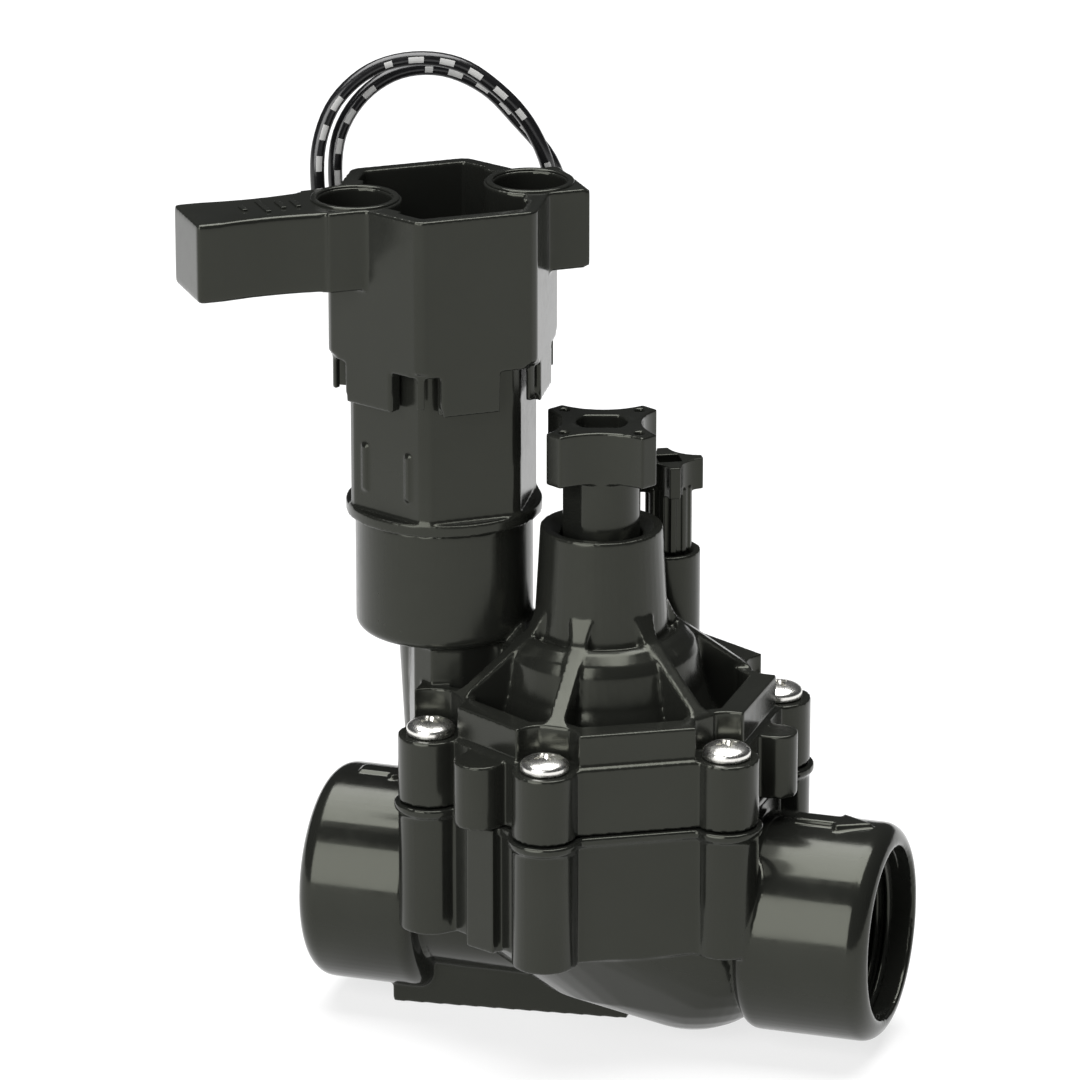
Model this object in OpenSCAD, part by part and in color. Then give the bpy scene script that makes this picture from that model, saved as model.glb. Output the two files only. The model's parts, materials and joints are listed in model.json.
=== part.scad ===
// Solenoid-operated diaphragm zone valve, globe pattern, with threaded ports,
// a flow-control handle, a bleed screw and a quarter-turn lever sleeve on the solenoid.
// Frame: z = 0 is the plane the base rib stands on, the diaphragm axis is the Z axis,
// and water flows along +X. Millimetres.

/* [Ports] */
// Height of the port axis above the base
port_z = 24.5; // [24:0.5:28]
// Outside diameter of each port socket
socket_d = 43.4; // [42:0.2:46]
// Wall diameter of the threaded port bore
port_bore_d = 34.4; // [33:0.2:35]
// Depth of each threaded port bore
port_depth = 22; // [18:1:24]
// Diaphragm axis to inlet mouth
inlet_len = 57; // [56:0.5:64]
// Diaphragm axis to outlet mouth
outlet_len = 60; // [56:0.5:64]

/* [Body and bonnet] */
// Height of the parting plane between body and bonnet
parting_z = 51; // [50:0.5:52]
// Half width across the flats of the six-sided body wall
wall_apothem = 33.5; // [33:0.5:34.5]
// Radius of the bonnet screw circle
bolt_r = 36; // [35.5:0.5:37]
// Radius of each screw tower
tower_r = 6.4; // [6:0.1:6.8]
// Height of the seat under each screw head
screw_seat_z = 64.6; // [63:0.2:66]
// Height of the flat bonnet rim
rim_z = 71.5; // [70:0.5:73]
// Height of the top of the central turret
turret_z = 103; // [101:0.5:105]

/* [Flow control] */
// Height of the top of the cross handle
handle_z = 124.2; // [123:0.2:126]
// Height of the handle's grip
handle_h = 10.6; // [9:0.2:12]
// Reach of each handle lobe from the axis
handle_reach = 13.2; // [12.4:0.2:13.6]
// Direction of the first handle lobe in degrees
handle_turn = 62; // [0:1:90]

/* [Bleed screw] */
// Distance of the bleed screw from the diaphragm axis
bleed_r = 22.5; // [22:0.5:24]
// Direction of the bleed screw in degrees
bleed_angle = 71.5; // [60:0.5:80]
// Height of the top of the bleed boss
bleed_boss_z = 92; // [90:0.5:93]
// Height of the top of the bleed screw head
bleed_top_z = 110.7; // [109:0.1:112]

/* [Solenoid] */
// Distance of the solenoid axis from the diaphragm axis
solenoid_x = 32.4; // [32:0.2:34]
// Outside radius of the solenoid bowl
bowl_r = 17.5; // [16.5:0.1:18]
// Height of the top edge of the solenoid bowl
bowl_top_z = 103; // [101:0.5:104]
// Corner radius of the six-sided solenoid housing
housing_r = 19.5; // [19:0.1:20]
// Height of the top of the solenoid housing
housing_z = 156; // [150:1:160]

/* [Lever sleeve] */
// Corner radius of the six-sided sleeve
sleeve_r = 23.8; // [23.2:0.1:24.4]
// Height of the sleeve's lower edge
sleeve_z0 = 128.5; // [127.5:0.5:131]
// Height of the sleeve's upper edge
sleeve_z1 = 168; // [165:0.5:170]
// Direction of the sleeve's corners and pockets in degrees
sleeve_turn = 37.5; // [30:0.5:45]
// Height of the lever and of the pocket blocks
lever_h = 16; // [14:0.5:18]
// Reach of the lever from the solenoid axis
lever_reach = 52; // [48:0.5:56]

/* [Leads] */
// Outside diameter of each lead
lead_d = 2.9; // [2.4:0.1:3.2]

/* [Hidden] */
$fn = 64;
eps = 0.02;
slip = 0.05;                       // radial running clearance
plastic = "#2b2c2a";
socket_r = socket_d / 2;
port_bore_r = port_bore_d / 2;
bolt_angles = [-140, -90, -30, 30, 90, 140];
rib_angles = [-140, -90, -32, 32, 90, 140];
post_angles = [-113, 0, 113];
post_r = [4.9, 3.8, 4.9];
bolt_z0 = 24.5;                    // bottom of the body's screw towers
hex_turn = 30;                     // corners of the body wall

// valve seat and water passages
seat_z = 41;
seat_r = 14.2;
riser_r = 12;
inlet_r = 13;
cavity_r = 28.5;
pin_x = 12.2;                      // metering pin through the diaphragm

// bonnet bores from the top down
handle_bore_r = 8;
handle_bore_z = 91;
gland_r = 5.2;
gland_z = 76;
stem_bore_r = 4;
spring_pocket_r = 11;
spring_pocket_z = 70;

bleed_x = bleed_r * cos(bleed_angle);
bleed_y = bleed_r * sin(bleed_angle);
bleed_gland_z = 83;
bleed_gland_r = 4.3;
bleed_thread_r = 3.5;

nozzle_z = 91;                     // pilot seat under the plunger
nipple_r = 9.9;
nipple_z = 88;
bowl_z0 = 79;
bowl_corner = 2.4;
collar_z = bowl_top_z + 0.3;
collar_h = 2.4;

// ------------------------------------------------------------------ helpers

module at_polar(radius, angle, z = 0) {
  rotate([0, 0, angle]) translate([radius, 0, z]) children();
}

module at_bolts(z = 0) {
  for (a = bolt_angles) at_polar(bolt_r, a, z) children();
}

module tube(r_out, r_in, h) {
  difference() {
    cylinder(r = r_out, h = h);
    translate([0, 0, -eps]) cylinder(r = r_in, h = h + 2 * eps);
  }
}

module hex_prism(apothem, h, turn = hex_turn) {
  rotate([0, 0, turn]) cylinder(r = apothem / cos(30), h = h, $fn = 6);
}

// a hexagonal prism whose corners are trimmed by a cylinder
module soft_hex(corner_r, h, trim = 0.6) {
  intersection() {
    cylinder(r = corner_r, h = h, $fn = 6);
    cylinder(r = corner_r - trim, h = h, $fn = 96);
  }
}

module ring(major, minor) {
  rotate_extrude() translate([major, 0]) circle(r = minor, $fn = 24);
}

// a closed helical wire with a square-ish section count, swept along its axis
function helix_ring(i, steps, turns, r, h, wire, sides) =
  let (a = 360 * turns * i / steps, z = h * i / steps)
  [for (k = [0 : sides - 1])
    let (b = 360 * k / sides)
    [(r + wire * cos(b)) * cos(a), (r + wire * cos(b)) * sin(a), z + wire * sin(b)]];

module helix(r, h, wire, turns, per_turn = 20, sides = 8) {
  steps = round(turns * per_turn);
  rings = [for (i = [0 : steps]) helix_ring(i, steps, turns, r, h, wire, sides)];
  skin(rings, sides);
}

// closes a list of equal rings into one solid
module skin(rings, sides) {
  last = len(rings) - 1;
  sides_faces = [for (i = [0 : last - 1], k = [0 : sides - 1])
    let (n = (k + 1) % sides)
    [i * sides + k, (i + 1) * sides + k, (i + 1) * sides + n, i * sides + n]];
  start = [for (k = [0 : sides - 1]) k];
  end = [for (k = [sides - 1 : -1 : 0]) last * sides + k];
  polyhedron(points = [for (r = rings) each r], faces = concat(sides_faces, [start, end]), convexity = 8);
}

function unit(v) = v / norm(v);
function tangent(p, i) =
  unit(p[min(i + 1, len(p) - 1)] - p[max(i - 1, 0)]);
function square_to(v, t) = unit(v - (v * t) * t);
// normals carried along the route with no twist
function carried(p, i, before) =
  let (n = square_to(before, tangent(p, i)))
  i == len(p) - 1 ? [n] : concat([n], carried(p, i + 1, n));

module cord(p, d, sides = 8) {
  normals = carried(p, 0, [0.3, 0.9, 0.2]);
  rings = [for (i = [0 : len(p) - 1])
    let (t = tangent(p, i), n = normals[i], b = cross(t, n))
    [for (k = [0 : sides - 1])
      p[i] + d / 2 * (cos(360 * k / sides) * n - sin(360 * k / sides) * b)]];
  skin(rings, sides);
}

// ------------------------------------------------------------- valve body

// socket along +X from x0 to its mouth at x1, with rounded rims
module socket(x0, x1, rim = 4) {
  back = 3;
  translate([x0, 0, 0]) rotate([0, 90, 0]) rotate_extrude($fn = 96) {
    square([socket_r - back, x1 - x0]);
    translate([0, back]) square([socket_r, x1 - x0 - back - rim]);
    square([socket_r - rim, x1 - x0]);
    translate([socket_r - back, back]) circle(r = back, $fn = 48);
    translate([socket_r - rim, x1 - x0 - rim]) circle(r = rim, $fn = 48);
  }
}

module flow_arrow(x0, x1, half) {
  head = 7;
  linear_extrude(height = 3)
    polygon([
      [x0, -half * 0.55], [x1 - head, -half * 0.55], [x1 - head, -half],
      [x1, 0], [x1 - head, half], [x1 - head, half * 0.55], [x0, half * 0.55]
    ]);
}

module body_shell() {
  // six-sided wall with a flared lip at the parting plane
  translate([0, 0, bolt_z0 + 0.3]) hex_prism(wall_apothem, parting_z - 1.3 - bolt_z0);
  translate([0, 0, parting_z - 1.6]) hex_prism(wall_apothem + 0.7, 1.6);
  // scroll-shaped chamber that deepens towards the outlet
  hull() {
    translate([0, 0, 25]) cylinder(r = wall_apothem - 0.3, h = 1.5, $fn = 48);
    translate([8, 0, 11]) cylinder(r = 21, h = 2, $fn = 40);
    translate([19.5, 0, 22]) sphere(r = 21.4, $fn = 40);
  }
  at_bolts(bolt_z0) cylinder(r = tower_r, h = parting_z - 0.8 - bolt_z0);
  at_bolts(parting_z - 1.8) cylinder(r = tower_r + 0.8, h = 1.7);
  // ribs under the locating posts
  for (i = [0, 2]) at_polar(34.2, post_angles[i], bolt_z0)
    translate([-3, -3.6, 0]) cube([5.2, 7.2, parting_z - bolt_z0 - 0.4]);
  // ports and their necks
  translate([0, 0, port_z]) {
    socket(33, outlet_len);
    translate([20, 0, 0]) rotate([0, 90, 0]) cylinder(r = 17.5, h = 16);
    mirror([1, 0, 0]) socket(33, inlet_len);
    translate([-36, 0, 0]) rotate([0, 90, 0]) cylinder(r = 16.5, h = 36);
  }
  translate([0, 0, port_z + socket_r - 2]) {
    flow_arrow(40, 56, 3.6);
    translate([0, 0, -0.4]) flow_arrow(-50, -36, 3.2);
  }
  // flat base rib, which narrows towards the outlet
  linear_extrude(height = 12)
    polygon([[-41.5, -7], [-20, -4.6], [6, -1.5], [6, 1.5], [-20, 4.6], [-41.5, 7]]);
  translate([-20, -1.2, 4]) cube([60, 2.4, 8]);
}

module body_passages() {
  // chamber above and around the seat
  translate([0, 0, 28]) cylinder(r = cavity_r, h = parting_z);
  hull() {
    translate([0, 0, 28]) cylinder(r = cavity_r, h = 1, $fn = 48);
    translate([8, 0, 15]) cylinder(r = 17, h = 1, $fn = 40);
    translate([19.5, 0, 22]) sphere(r = 17.6, $fn = 40);
  }
  // groove for the diaphragm bead
  translate([0, 0, parting_z - 1.2]) tube(31.6, 26, 3);
  translate([0, 0, parting_z - 2.6]) tube(31.6, 29.8, 3);
  // outlet
  translate([10, 0, port_z]) rotate([0, 90, 0]) cylinder(r = 14.5, h = 60);
  translate([outlet_len - port_depth, 0, port_z]) rotate([0, 90, 0]) cylinder(r = port_bore_r, h = 40);
}

module riser_solid() {
  translate([-30, 0, port_z]) rotate([0, 90, 0]) cylinder(r = 15.2, h = 30);
  translate([0, 0, 12]) cylinder(r = 15.2, h = 22);
  translate([0, 0, 12]) cylinder(r = seat_r, h = seat_z - 12);
}

module riser_passage() {
  translate([-inlet_len - 5, 0, port_z]) rotate([0, 90, 0]) cylinder(r = port_bore_r, h = port_depth + 5);
  translate([-50, 0, port_z]) rotate([0, 90, 0]) cylinder(r = inlet_r, h = 50);
  translate([0, 0, port_z - 9]) cylinder(r = riser_r, h = 40);
  translate([0, 0, port_z]) sphere(r = inlet_r);
}

module valve_body() {
  color(plastic)
  difference() {
    union() {
      difference() {
        body_shell();
        body_passages();
      }
      riser_solid();
    }
    riser_passage();
    at_bolts(bolt_z0 + 5) cylinder(r = 2.4, h = 40);
    // pilot return from the solenoid to the outlet chamber
    translate([-solenoid_x, 0, 44]) cylinder(r = 1, h = 20);
    translate([-solenoid_x, 0, 45]) rotate([0, 90, 0]) cylinder(r = 1, h = 8);
  }
}

// ----------------------------------------------------------------- bonnet

scoop_r = 6.5;
rib_profile = [[11, 60], [30, 60], [30, rim_z], [15, 83], [12.6, 88], [11, 88]];
// bell with a shoulder and a shallow groove at the foot of the turret
dome_profile = [
  [0, 52], [28.2, 52], [25.6, 60], [22, 65], [20.2, 71], [19.2, 78], [18.4, 79.8],
  [16.4, 81.8], [15, 82.4], [14.4, 81.4], [13.2, 81.4], [0, 81.4]
];

module bonnet_outside() {
  z0 = parting_z + 0.3;
  // flange wall, rim and screw towers
  difference() {
    union() {
      translate([0, 0, z0]) hex_prism(wall_apothem, screw_seat_z + 0.3 - z0);
      translate([0, 0, z0]) hex_prism(wall_apothem - 0.9, rim_z - z0);
      at_bolts(z0) cylinder(r = tower_r, h = screw_seat_z + 0.2 - z0);
    }
    // pockets between the rim and the dome, walled off from the screw scoops
    difference() {
      translate([0, 0, 60]) hex_prism(27.4, 20);
      at_bolts(59) cylinder(r = scoop_r + 2.3, h = 22);
    }
    // scoops that clear the screw heads
    at_bolts(screw_seat_z) cylinder(r = scoop_r, h = 20);
  }
  for (i = [0 : 2]) at_polar(36.4, post_angles[i], z0) {
    cylinder(r = post_r[i], h = 13);
    translate([-5, -post_r[i], 0]) cube([5, 2 * post_r[i], 13]);
  }
  // dome, turret and ribs
  rotate_extrude($fn = 96) polygon(dome_profile);
  translate([0, 0, 80]) cylinder(r1 = 13.3, r2 = 12, h = turret_z - 80);
  for (a = rib_angles)
    rotate([0, 0, a]) rotate([90, 0, 0]) translate([0, 0, -1.6])
      linear_extrude(height = 3.2) polygon(rib_profile);
  // bleed boss
  translate([bleed_x, bleed_y, 60]) cylinder(r = 6.4, h = bleed_boss_z - 60);
  // neck, web and bowl for the solenoid
  translate([-solenoid_x, 0, 0]) {
    translate([-0.6, 0, z0]) cylinder(r1 = 7.2, r2 = 8.7, h = bowl_z0 + 1 - z0);
    translate([0, -8, 60]) cube([14, 16, 21.6]);
    translate([0, 0, bowl_z0]) rotate_extrude($fn = 96) {
      square([bowl_r - bowl_corner, bowl_top_z - bowl_z0]);
      translate([0, bowl_corner]) square([bowl_r, bowl_top_z - bowl_z0 - bowl_corner]);
      translate([bowl_r - bowl_corner, bowl_corner]) circle(r = bowl_corner, $fn = 48);
    }
  }
}

module bonnet_bores() {
  // pressure chamber above the diaphragm
  translate([0, 0, parting_z - 1]) cylinder(r = 25.6, h = 6);
  translate([0, 0, parting_z + 4.9]) cylinder(r1 = 25.6, r2 = 12.5, h = 12);
  translate([0, 0, parting_z]) cylinder(r = spring_pocket_r, h = spring_pocket_z - parting_z);
  // stem thread, gland and handle bore
  translate([0, 0, 60]) cylinder(r = stem_bore_r, h = 30);
  translate([0, 0, gland_z]) cylinder(r = gland_r, h = 20);
  translate([0, 0, handle_bore_z]) cylinder(r = handle_bore_r, h = 20);
  translate([0, 0, turret_z - 1.6]) cylinder(r1 = handle_bore_r, r2 = 10.4, h = 1.7);
  // bleed passage
  translate([bleed_x, bleed_y, 0]) {
    translate([0, 0, 56]) cylinder(r = 1.5, h = 14);
    translate([0, 0, 66]) cylinder(r = bleed_thread_r, h = 20);
    translate([0, 0, bleed_gland_z]) cylinder(r = bleed_gland_r, h = 20);
    translate([0, 0, bleed_boss_z - 1.2]) cylinder(r1 = bleed_gland_r, r2 = 5.3, h = 1.3);
  }
  // solenoid socket, relief ring and pilot passages
  translate([-solenoid_x, 0, 0]) {
    translate([0, 0, 87]) cylinder(r = nipple_r + slip * 2, h = 30);
    translate([0, 0, 84]) tube(15.4, 12, 30);
    translate([0, 0, 50]) cylinder(r = 1, h = 40);
    translate([4.6, 0, 60]) cylinder(r = 1.6, h = 28);
    translate([3.6, 0, 61]) rotate([0, 90, 0]) cylinder(r = 1.6, h = 13);
  }
  at_bolts(40) cylinder(r = 2.7, h = 40);
}

module bonnet() {
  color(plastic) {
    difference() {
      bonnet_outside();
      bonnet_bores();
    }
    // pilot nozzle
    translate([-solenoid_x, 0, 86]) difference() {
      cylinder(r1 = 3, r2 = 2, h = nozzle_z - 86);
      translate([0, 0, -1]) cylinder(r = 1, h = 8);
    }
  }
}

module bonnet_screws() {
  color("#d9dadb")
  at_bolts(screw_seat_z) difference() {
    union() {
      cylinder(r = 4.7, h = 1.1);
      translate([0, 0, 1.1]) intersection() {
        cylinder(r = 4.7, h = 2);
        translate([0, 0, -5]) sphere(r = 6.9);
      }
      translate([0, 0, -33]) cylinder(r = 2.35, h = 33.5);
    }
    for (a = [0, 90]) rotate([0, 0, a + 20]) translate([-2.4, -0.45, 1]) cube([4.8, 0.9, 3]);
  }
}

// ---------------------------------------------------- diaphragm assembly

module diaphragm() {
  color("#1d1d1e")
  difference() {
    rotate_extrude($fn = 96) {
      polygon([
        [2.2, 43.5], [15.5, 43.5], [19, 44.2], [25.8, 49.8], [31.5, 49.8], [31.5, 51.2],
        [25.4, 51.2], [18.4, 45.5], [15.2, 45], [2.2, 45]
      ]);
      translate([30, 48.5]) square([1.5, 1.5]);
    }
    translate([-pin_x, 0, 40]) cylinder(r = 0.9, h = 10);
  }
}

module diaphragm_plate() {
  color("#3a3b3d")
  difference() {
    union() {
      translate([0, 0, 45]) cylinder(r = 15, h = 2);
      translate([0, 0, 45]) cylinder(r = 7, h = 4.6);
      translate([0, 0, 45]) tube(13, 11.4, 3.4);
    }
    translate([0, 0, 40]) cylinder(r = 2.2, h = 20);
    translate([-pin_x, 0, 40]) cylinder(r = 0.9, h = 20);
  }
}

module seat_washer() {
  color("#232324")
  translate([0, 0, seat_z + 0.05]) tube(13.4, 2.2, 2.4);
}

module seat_guide() {
  color("#3a3b3d")
  difference() {
    union() {
      translate([0, 0, 38.2]) cylinder(r = 10.6, h = 2.8);
      for (a = [0 : 60 : 300]) rotate([0, 0, a])
        translate([3, -0.8, 27]) cube([8.4, 1.6, 12]);
      translate([0, 0, 30]) cylinder(r = 4.6, h = 9);
    }
    translate([0, 0, 20]) cylinder(r = 2.2, h = 30);
    translate([0, 0, 20]) cylinder(r = 3.7, h = 13);
  }
}

module diaphragm_screw() {
  color("#b9bbbd") {
    translate([0, 0, 30.6]) cylinder(r = 3.5, h = 2.4);
    translate([0, 0, 32]) cylinder(r = 2.1, h = 20.5);
  }
}

module diaphragm_nut() {
  color("#b9bbbd")
  translate([0, 0, 49.6]) difference() {
    cylinder(r = 4.4, h = 2.6, $fn = 6);
    translate([0, 0, -1]) cylinder(r = 2.1 + slip, h = 5);
  }
}

module metering_pin() {
  color("#c4c6c8")
  translate([-pin_x, 0, seat_z + 2.5]) {
    cylinder(r = 0.85, h = 7);
    translate([0, 0, 4.9]) cylinder(r = 1.4, h = 1.2);
  }
}

module main_spring() {
  color("#a9acae")
  translate([0, 0, 47.8]) helix(9.2, spring_pocket_z - 48.6, 0.7, 5.5);
}

// ------------------------------------------------------------ flow control

// a square with hollowed sides and cut corners; half is half its side, waist the
// distance from the centre to the bottom of each hollow
module cross_2d(reach, half, waist, hollow_r) {
  difference() {
    square([2 * half, 2 * half], center = true);
    for (a = [0 : 90 : 270]) rotate([0, 0, a])
      translate([waist + hollow_r, 0]) circle(r = hollow_r, $fn = 96);
    for (a = [45 : 90 : 315]) rotate([0, 0, a])
      translate([reach, -reach]) square([reach, 2 * reach]);
  }
}

module flow_handle() {
  z0 = handle_z - handle_h;
  color(plastic)
  difference() {
    union() {
      translate([0, 0, z0]) rotate([0, 0, handle_turn - 45])
        linear_extrude(height = handle_h) cross_2d(handle_reach, 10.8, 7.8, 12);
      difference() {
        translate([0, 0, 100]) cylinder(r = 7.6, h = z0 + 1 - 100);
        rotate([0, 0, 228]) translate([6.7, -10, 99.9]) cube([4, 20, 30]);
      }
    }
    for (a = [0 : 90 : 270]) at_polar(handle_reach - 2.9, handle_turn + a, handle_z - 4) cylinder(r = 1, h = 6);
    translate([0, 0, handle_z - 5.4]) cylinder(r = 5, h = 8);
    translate([0, 0, 98]) cylinder(r = 3.4 + slip, h = 30);
  }
}

module flow_stem() {
  color("#4a4b4c")
  difference() {
    union() {
      translate([0, 0, 62]) cylinder(r = stem_bore_r - slip, h = 23);
      translate([0, 0, 84.3]) cylinder(r = gland_r - 0.1, h = 15.5);
      translate([0, 0, 99]) cylinder(r = 3.4, h = 20.5);
    }
    translate([0, 0, 85.4]) tube(6, 3.6, 2);
    translate([-0.5, -5, 117.5]) cube([1, 10, 4]);
  }
}

module stem_clip() {
  color("#b9bbbd")
  translate([0, 0, handle_z - 5.3]) difference() {
    tube(4.7, 3.45, 0.8);
    rotate([0, 0, handle_turn]) translate([2, -1, -1]) cube([4, 2, 3]);
  }
}

module stem_o_ring() {
  color("#1a1a1a") translate([0, 0, 86.4]) ring(4.38, 0.74);
}

// -------------------------------------------------------------- bleed screw

module bleed_screw() {
  head_h = 6.4;
  rib_z = bleed_boss_z + 0.3;
  head_z = bleed_top_z - head_h;
  color(plastic)
  translate([bleed_x, bleed_y, 0]) difference() {
    union() {
      translate([0, 0, head_z]) rotate([0, 0, 28 - 45])
        linear_extrude(height = head_h) cross_2d(6.8, 5.5, 4.2, 6.5);
      translate([0, 0, rib_z]) cylinder(r = 4.3, h = head_z + 1 - rib_z);
      for (a = [0 : 30 : 330]) rotate([0, 0, a])
        translate([3.8, -0.55, rib_z]) cube([0.9, 1.1, head_z + 1 - rib_z]);
      translate([0, 0, bleed_gland_z + 0.4]) cylinder(r = bleed_gland_r - 0.1, h = 10);
      translate([0, 0, 72]) cylinder(r = bleed_thread_r - slip, h = 12);
      translate([0, 0, 69.2]) cylinder(r1 = 1.2, r2 = bleed_thread_r - slip, h = 2.8);
    }
    translate([0, 0, 86]) tube(5, 3, 2);
    translate([0, 0, bleed_top_z - 3]) rotate([0, 0, 28]) translate([-2.3, -2.3, 0]) cube([4.6, 4.6, 5]);
  }
}

module bleed_o_ring() {
  color("#1a1a1a") translate([bleed_x, bleed_y, 87]) ring(3.64, 0.6);
}

// ----------------------------------------------------------------- solenoid

module on_solenoid(z = 0, turn = 0) {
  translate([-solenoid_x, 0, z]) rotate([0, 0, turn]) children();
}

module solenoid_housing() {
  hex_z = collar_z + collar_h;
  color(plastic)
  difference() {
    on_solenoid(0, sleeve_turn) {
      translate([0, 0, hex_z - eps]) soft_hex(housing_r, housing_z - hex_z);
      translate([0, 0, collar_z]) cylinder(r = 19.3, h = collar_h);
      translate([0, 0, nipple_z]) cylinder(r = nipple_r, h = 18);
      // raised bar marks that frame the position mark
      for (s = [-1, 1]) rotate([0, 0, 210]) translate([15, s * 5.5 - 0.6, 110]) cube([2.4, 1.2, 9]);
    }
    on_solenoid(0) {
      translate([0, 0, 106]) cylinder(r = 14.6, h = 60);
      translate([0, 0, 80]) cylinder(r = 6.35, h = 60);
      translate([0, 0, 91.5]) tube(12, 8.6, 2.4);
    }
    on_solenoid(118, 127.5) translate([10, 0, 0]) rotate([0, 90, 0]) cylinder(r = 3.4, h = 20);
  }
}

module solenoid_cap() {
  color("#1b1c1c")
  on_solenoid(151.3) cylinder(r = 14.55, h = housing_z - 151.3 - 0.4);
}

module coil_shell() {
  color("#8d9194")
  on_solenoid() difference() {
    union() {
      translate([0, 0, 106.2]) cylinder(r = 14.5, h = 1.4);
      translate([0, 0, 106.2]) tube(14.5, 13.7, 45);
      translate([0, 0, 149.8]) cylinder(r = 14.5, h = 1.4);
    }
    translate([0, 0, 100]) cylinder(r = 6.35, h = 60);
    rotate([0, 0, 127.5]) translate([10, -5, 112]) cube([10, 10, 12]);
  }
}

module bobbin() {
  color("#d8d2c2")
  on_solenoid() {
    translate([0, 0, 107.8]) tube(13.5, 6.35, 1.6);
    translate([0, 0, 148]) tube(13.5, 6.35, 1.6);
    translate([0, 0, 107.8]) tube(7.4, 6.35, 41.8);
  }
}

module coil_winding() {
  color("#b4642c")
  on_solenoid(109.6) tube(12.4, 7.5, 38.2);
}

module core_tube() {
  color("#c9cbcc")
  on_solenoid() {
    translate([0, 0, 96]) tube(6.25, 5.2, 54);
    translate([0, 0, 150]) cylinder(r = 6.25, h = 1);
  }
}

module fixed_core() {
  color("#9a9da0")
  on_solenoid(125.5) cylinder(r = 5.15, h = 24.4);
}

module shading_ring() {
  color("#c47a3e")
  on_solenoid(125) tube(4.4, 3.4, 0.48);
}

module plunger() {
  color("#b3b6b9")
  on_solenoid() difference() {
    translate([0, 0, 92.4]) cylinder(r = 5.1, h = 30.4);
    translate([0, 0, 110]) cylinder(r = 2.9, h = 20);
    translate([0, 0, 92]) cylinder(r = 2.6, h = 2.4);
    for (s = [-1, 1]) translate([s * 5.2 - 0.5, -0.8, 90]) cube([1, 1.6, 40]);
  }
}

module plunger_seal() {
  color("#202021")
  on_solenoid(nozzle_z + 0.1) cylinder(r = 2.55, h = 3.2);
}

module plunger_spring() {
  color("#b9bbbd")
  on_solenoid(110.5) helix(2.3, 13.9, 0.3, 7, 12, 6);
}

module solenoid_o_ring() {
  color("#1a1a1a") on_solenoid(92.7) ring(9.3, 0.64);
}

// ------------------------------------------------------------ lever sleeve

module lever_2d() {
  root = 26.2;
  far_root = 27.2;
  half = 8.9;
  // pocket blocks on both sides of the axis
  translate([-far_root, -half]) square([root + far_root, half * 2]);
  // lever arm with a waist and a flared tip
  difference() {
    translate([root - 1, -8]) square([lever_reach - root + 1, 16]);
    for (s = [-1, 1]) translate([root + 11, s * 67.2]) circle(r = 60, $fn = 240);
  }
}

module sleeve_shell() {
  translate([0, 0, sleeve_z0]) soft_hex(sleeve_r, sleeve_z1 - sleeve_z0, 0.5);
  rotate([0, 0, 180]) translate([0, 0, sleeve_z1 - lever_h])
    linear_extrude(height = lever_h) lever_2d();
}

module lever_sleeve() {
  inner_r = 20.4;
  pocket_x = 17.9;
  mouth_z = housing_z + 0.4;
  mouth_h = sleeve_z1 - mouth_z;
  slot_h = 8;
  color(plastic)
  on_solenoid(0, sleeve_turn) difference() {
    union() {
      difference() {
        sleeve_shell();
        translate([0, 0, sleeve_z0 - 1]) cylinder(r = inner_r, h = 60, $fn = 6);
      }
      // pocket walls reach into the mouth of the sleeve
      for (s = [-1, 1]) translate([s * pocket_x, 0, mouth_z]) cylinder(r = 9.1, h = mouth_h);
      // bosses on the middle of four inner faces
      for (a = [30, 150, 210, 330]) rotate([0, 0, a])
        translate([16.4, -4, mouth_z]) cube([1.8, 8, mouth_h]);
    }
    for (s = [-1, 1]) translate([s * pocket_x, 0, mouth_z + 1]) cylinder(r = 7.1, h = 20);
    // slots beside each corner at the lower end, a wide one and a narrow one on each face
    for (a = [30 : 60 : 330]) rotate([0, 0, a]) translate([17, 0, sleeve_z0 - 1]) {
      translate([0, 4.5, 0]) cube([6, 6, slot_h + 1]);
      translate([0, -10.5, 0]) cube([6, 3.1, slot_h + 1]);
    }
    // the corner fingers between the slots are set back and shorter
    translate([0, 0, sleeve_z0 - 1]) tube(30, 22.6, slot_h + 2);
    for (a = [0 : 60 : 300]) rotate([0, 0, a])
      translate([20, -4, sleeve_z0 - 1]) cube([6, 8, 2.6]);
  }
}

module lead_grommet() {
  color("#1b1c1c")
  on_solenoid(118, 127.5) rotate([0, 90, 0]) {
    translate([0, 0, 14.8]) cylinder(r = 3.3, h = 3);
    translate([0, 0, 17.2]) cylinder(r = 4.6, h = 1.4);
    translate([0, 0, 18]) cylinder(r1 = 4.2, r2 = 3.7, h = 3.4);
  }
}

// -------------------------------------------------------------------- leads

// Each lead leaves the back of the housing, arches over the sleeve and comes down
// behind the valve to a small coil on the base plane.
lead_1 = [
  [-45.5, 17, 119.5], [-50, 22.5, 121], [-53.5, 28, 125.5], [-52.5, 32.5, 132.5], [-46, 35, 137.5],
  [-38, 35.5, 141], [-30, 34.5, 145], [-23.5, 32, 150.5], [-19.5, 29, 158], [-19.5, 26, 167],
  [-23, 24, 176], [-28.5, 21.5, 183], [-35.5, 19, 188], [-43.5, 15, 189.5], [-51, 11, 187.5],
  [-56.5, 6.5, 182], [-59, 3.5, 174], [-59, 2.5, 165], [-58.5, 4.5, 156.5], [-58, 8, 148.5],
  [-57, 11.5, 140.5], [-56, 14.5, 132.5], [-55.5, 17, 124], [-54.5, 19, 115.5], [-52, 21.5, 107.5],
  [-49, 24, 100], [-46.5, 26, 91.5], [-45, 27.5, 83], [-44, 28, 74], [-44, 28, 65],
  [-44, 28, 56], [-44, 28, 47], [-44, 28, 38], [-44, 28, 29], [-45, 29, 20],
  [-48.5, 31.5, 11.5], [-54, 35.5, 4.5], [-59.5, 41, 1.5]
];
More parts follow.
